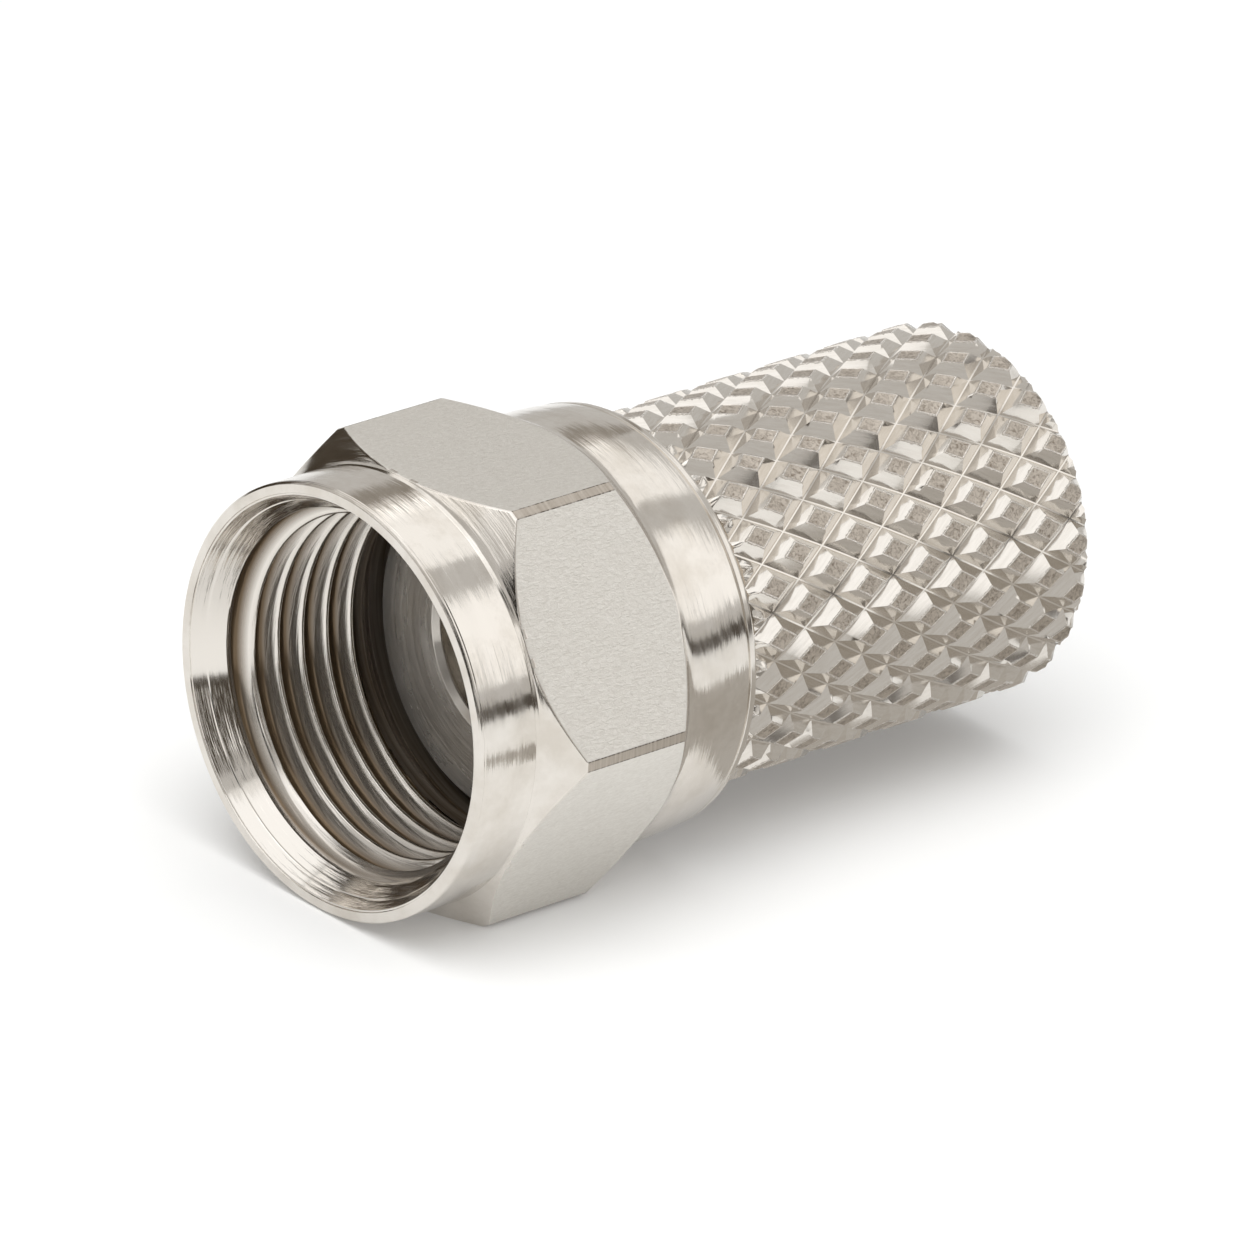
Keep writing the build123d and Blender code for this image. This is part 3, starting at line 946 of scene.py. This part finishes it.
def dressBody():
    # the diamonds, the flange's rim deep in the nut, then its face and the hole behind it
    mesh = bodyPiece.data
    mesh.materials.append(nickelTurned("nickelPlatedTurnedBrassBody", turnedFinish))
    mesh.materials.append(nickelKnurled("nickelPlatedKnurledBrass"))
    mesh.materials.append(nickelTurned("nickelPlatedFacedBrass", facedFinish))
    mesh.materials.append(nickelRecessShade("nickelPlatedRecessShadeBrassBody"))
    for poly in mesh.polygons:
        x = poly.center.x / mm - mouthX
        across = math.hypot(poly.center.y, poly.center.z) / mm
        if knurl["front"] + 0.001 < x < knurl["rear"] - 0.001 and across > knurl["skinRadius"]:
            poly.material_index = 1
        # the flange's rim deep in the nut takes the recess material: painted shade
        elif x < body["flangeBack"] and across > body["flangeRadius"] - 0.08:
            poly.material_index = 3
        elif x < body["flangeFront"] + 0.3:
            poly.material_index = 2


dressNut()
dressBody()
print("materials made")


# floor, light and camera

studio = {
    "floorHeight": -5.5,       # mm, under the flat that it lies on
    "floorHalf": 600,          # mm from the middle to each side
    "floorColour": "EAEAE9",
    "floorGlow": 0.14,         # added where the camera or metal sees the floor, as a bright tent does
    "softLevel": 0.32,         # of the tent's light on the floor
    "plugMiddle": (8, 0, 0),   # mm in the frame, where the lamps aim
    "lampDistance": 0.35,      # metres
    "cardDistance": 0.45,
    "wallDistance": 0.6,
    "cameraTurn": -42.607,     # degrees about +Z, from square to the axis
    "cameraRise": 20.131,
    "cameraRoll": -5.6,        # the nut lies on its flat, so the camera turns about the axis instead
    "cameraDistance": 312.2,
    "aimX": 7.856,             # mm from the mouth
    "aimRight": 1.377,
    "aimUp": 0.01,
    "focalPixels": 12772,      # for an image that wide
    "imageWidth": 1254,
    "sensorWidth": 36,
}


def whereSeen(tree):
    # 1 for what the camera, the metal or glass sees, 0 for what lights the plug
    path = addNode(tree, "ShaderNodeLightPath")
    seen = addNode(tree, "ShaderNodeMath", {"operation": "MAXIMUM"},
                   {0: path["Is Camera Ray"], 1: path["Is Glossy Ray"]})[0]
    return addNode(tree, "ShaderNodeMath", {"operation": "MAXIMUM"},
                   {0: seen, 1: path["Is Transmission Ray"]})[0]


def makeFloor():
    z = studio["floorHeight"] * mm
    s = studio["floorHalf"] * mm
    floor = meshObject("floor", [(-s, -s, z), (s, -s, z), (s, s, z), (-s, s, z)], [(0, 1, 2, 3)])
    material, tree = newMaterial("paperWhite")
    paper = addNode(tree, "ShaderNodeBsdfDiffuse", inputs={"Color": linear(studio["floorColour"])})[0]
    glow = addNode(tree, "ShaderNodeEmission", inputs={
        "Color": (1, 1, 1, 1), "Strength": studio["floorGlow"]})[0]
    bright = addNode(tree, "ShaderNodeAddShader", inputs={0: paper, 1: glow})[0]
    lit = addNode(tree, "ShaderNodeMixShader", inputs={0: whereSeen(tree), 1: paper, 2: bright})[0]
    addNode(tree, "ShaderNodeOutputMaterial", inputs={"Surface": lit})
    floor.data.materials.append(material)


def makeWorld():
    world = bpy.data.worlds.new("studioWorld")
    world.use_nodes = True
    tree = world.node_tree
    tree.nodes.clear()
    soft = addNode(tree, "ShaderNodeBackground", inputs={
        "Color": (1, 1, 1, 1), "Strength": studio["softLevel"]})[0]
    white = addNode(tree, "ShaderNodeBackground", inputs={"Color": (1, 1, 1, 1), "Strength": 1.0})[0]
    both = addNode(tree, "ShaderNodeMixShader", inputs={0: whereSeen(tree), 1: soft, 2: white})[0]
    addNode(tree, "ShaderNodeOutputWorld", inputs={"Surface": both})
    bpy.context.scene.world = world


def plugMiddle():
    return Vector(studio["plugMiddle"]) * mm


def towards(turn, rise, distance):
    # a point that many metres from the plug, in degrees: turn from +X toward +Y, rise above level
    a, e = math.radians(turn), math.radians(rise)
    way = Vector((math.cos(e) * math.cos(a), math.cos(e) * math.sin(a), math.sin(e)))
    return plugMiddle() + way * distance


def softbox(name, turn, rise, wide, tall, radiance):
    # a soft lamp, wide and tall in degrees as the plug sees it
    distance = studio["lampDistance"]
    lamp = bpy.data.lights.new(name, "AREA")
    lamp.shape = "RECTANGLE"
    lamp.size = 2 * distance * math.tan(math.radians(wide / 2))
    lamp.size_y = 2 * distance * math.tan(math.radians(tall / 2))
    lamp.energy = radiance * math.pi * lamp.size * lamp.size_y
    box = bpy.data.objects.new(name, lamp)
    bpy.context.scene.collection.objects.link(box)
    box.location = towards(turn, rise, distance)
    box.rotation_euler = (plugMiddle() - box.location).to_track_quat("-Z", "Y").to_euler()
    return box


def floorLamp(name, turn, rise, wide, tall, radiance):
    # lights the floor from high up, so that the shadow stays close; bright metal doesn't show it
    lamp = softbox(name, turn, rise, wide, tall, radiance)
    lamp.visible_glossy = False


def paperCard(name, verts, faces, colour):
    # a card that only the metal shows: the camera doesn't see it and it shades nothing
    card = meshObject(name, verts, faces)
    material, tree = newMaterial(name + "Paper")
    glow = addNode(tree, "ShaderNodeEmission", inputs={"Color": linear(colour)})[0]
    addNode(tree, "ShaderNodeOutputMaterial", inputs={"Surface": glow})
    card.data.materials.append(material)
    card.visible_camera = card.visible_diffuse = card.visible_shadow = False


def floorShadowCard(name, xFrom, xTo, yFrom, yTo, colour):
    # a painted shadow for the metal to show: lies just over the floor, in mm in the frame, where the knurl
    # shows its own shadow
    z = studio["floorHeight"] + 0.05
    corners = [(xFrom, yFrom, z), (xTo, yFrom, z), (xTo, yTo, z), (xFrom, yTo, z)]
    paperCard(name, [tuple(c * mm for c in corner) for corner in corners], [(0, 1, 2, 3)], colour)


def bentCard(name, turn, rise, wide, tall, colour, distance=studio["cardDistance"]):
    # a card bent around the plug, wide and tall in degrees as the plug sees it
    steps = max(2, int(wide / 6) + 1)       # a fold every 6 degrees or so
    verts, faces = [], []
    for k in range(steps):
        t = turn - wide / 2 + wide * k / (steps - 1)
        verts += [towards(t, rise - tall / 2, distance), towards(t, rise + tall / 2, distance)]
        if k:
            n = 2 * k
            faces.append((n - 2, n, n + 1, n - 1))
    paperCard(name, verts, faces, colour)


def makeCamera():
    s = studio
    a, e = math.radians(s["cameraTurn"]), math.radians(s["cameraRise"])
    right = Vector((math.cos(a), math.sin(a), 0))
    back = Vector((math.sin(a) * math.cos(e), -math.cos(a) * math.cos(e), math.sin(e)))
    up = back.cross(right)
    spot = Vector((s["aimX"], 0, 0)) + right * s["aimRight"] + up * s["aimUp"] + back * s["cameraDistance"]
    roll = Matrix.Rotation(math.radians(s["cameraRoll"]), 3, "X")
    right, up, back, spot = roll @ right, roll @ up, roll @ back, roll @ spot
    data = bpy.data.cameras.new("photoCamera")
    data.sensor_width = s["sensorWidth"]
    data.lens = s["focalPixels"] * s["sensorWidth"] / s["imageWidth"]
    data.clip_start, data.clip_end = 0.01, 5
    camera = bpy.data.objects.new("photoCamera", data)
    bpy.context.scene.collection.objects.link(camera)
    turn = Matrix((right, up, back)).transposed().to_4x4()
    camera.matrix_world = Matrix.Translation((spot + Vector((mouthX, 0, 0))) * mm) @ turn
    bpy.context.scene.camera = camera


makeFloor()
makeWorld()
makeCamera()
# name, turn, rise, width and height in degrees, and radiance
softbox("rightBox", -41, 29, 26, 34, 0.65)
softbox("topBox", 18, 50, 34, 18, 0.6)
softbox("overheadBox", 0, 90, 62, 62, 0.32)
softbox("backTopBox", 80, 51, 62, 16, 0.6)
softbox("frontTopBox", 172, 57, 60, 14, 0.6)
softbox("lowFrontBox", -129, 22, 14, 26, 0.6)
softbox("leftBox", 160, 18, 18, 14, 0.7)
floorLamp("skyPanel", -135, 70, 54, 54, 2.75)
# the same for the cards, with their colour
bentCard("tentWall", 0, 28, 360, 60, "D2D0CD", distance=studio["wallDistance"])
bentCard("horizonFront", -90, 2, 180, 6, "5A544E")
bentCard("horizonLeft", 140, 3, 80, 8, "5A544E")
bentCard("backLeft", 91, 21, 26, 42, "4A4238")
bentCard("aboveCamera", -146, 41, 27, 17, "1E1B18")
bentCard("rightOfCamera", -114, 24, 11, 46, "4A4238")
bentCard("leftOfCamera", -147, 22, 17, 46, "2A2621")
# painted shadow under the knurl, seen only in the metal
floorShadowCard("knurlShade", 10, 40, -22, -2, "BEBAB4")
bentCard("backRight", 43, 32, 14, 14, "A09A92")
bpy.context.scene.view_settings.view_transform = "Standard"
print("studio made")
